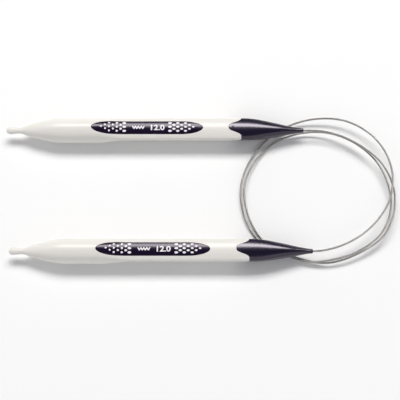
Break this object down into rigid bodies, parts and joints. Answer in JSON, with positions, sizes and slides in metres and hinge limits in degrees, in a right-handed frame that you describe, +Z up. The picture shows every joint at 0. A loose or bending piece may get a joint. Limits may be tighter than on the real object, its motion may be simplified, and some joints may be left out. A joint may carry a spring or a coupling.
{
  "type": "circular knitting needle",
  "caption": "Circular knitting needle: white moulded tips with beaded ends and three-sided grips, dark end cones, joined by a looped thin steel rope.",
  "frame": {"origin": "on the surface that the needles lie on, under the middle of the two needles", "axes": "+X from the beaded tips to the rope, +Y towards the rear needle, +Z up"},
  "size_m": [0.1872, 0.0733, 0.012],
  "materials": {
    "white_polymer": "satin",
    "aubergine_polymer": "polished",
    "steel_rope": "drawn wire",
    "ferrule_steel": "turned"
  },
  "bodies": {
    "cable_loop": {"cable": "steel_rope"},
    "rear_cable_end": {"rear_ferrule": "ferrule_steel", "rear_cable_end": "steel_rope"},
    "rear_needle": {"rear_shaft": "white_polymer", "rear_label_inlay": "aubergine_polymer", "rear_end_cone": "aubergine_polymer"},
    "front_cable_end": {"front_ferrule": "ferrule_steel", "front_cable_end": "steel_rope"},
    "front_needle": {"front_shaft": "white_polymer", "front_label_inlay": "aubergine_polymer", "front_end_cone": "aubergine_polymer"}
  },
  "joints": [
    {"name": "rear_swing", "type": "hinge", "parent": "cable_loop", "child": "rear_cable_end", "pos_m": [0.0701, 0.03, 0.006], "axis": [0, 0, -1], "range_deg": [-7, 30], "stiffness_Nm_per_rad": 0.0024},
    {"name": "rear_roll", "type": "hinge", "parent": "rear_cable_end", "child": "rear_needle", "pos_m": [0.0701, 0.03, 0.006], "axis": [1, 0, 0], "range_deg": [-180, 180], "stiffness_Nm_per_rad": 0.0015},
    {"name": "front_swing", "type": "hinge", "parent": "cable_loop", "child": "front_cable_end", "pos_m": [0.0734, -0.03, 0.006], "axis": [0, 0, 1], "range_deg": [-3, 30], "stiffness_Nm_per_rad": 0.0024},
    {"name": "front_roll", "type": "hinge", "parent": "front_cable_end", "child": "front_needle", "pos_m": [0.0734, -0.03, 0.006], "axis": [1, 0, 0], "range_deg": [-180, 180], "stiffness_Nm_per_rad": 0.0015}
  ]
}
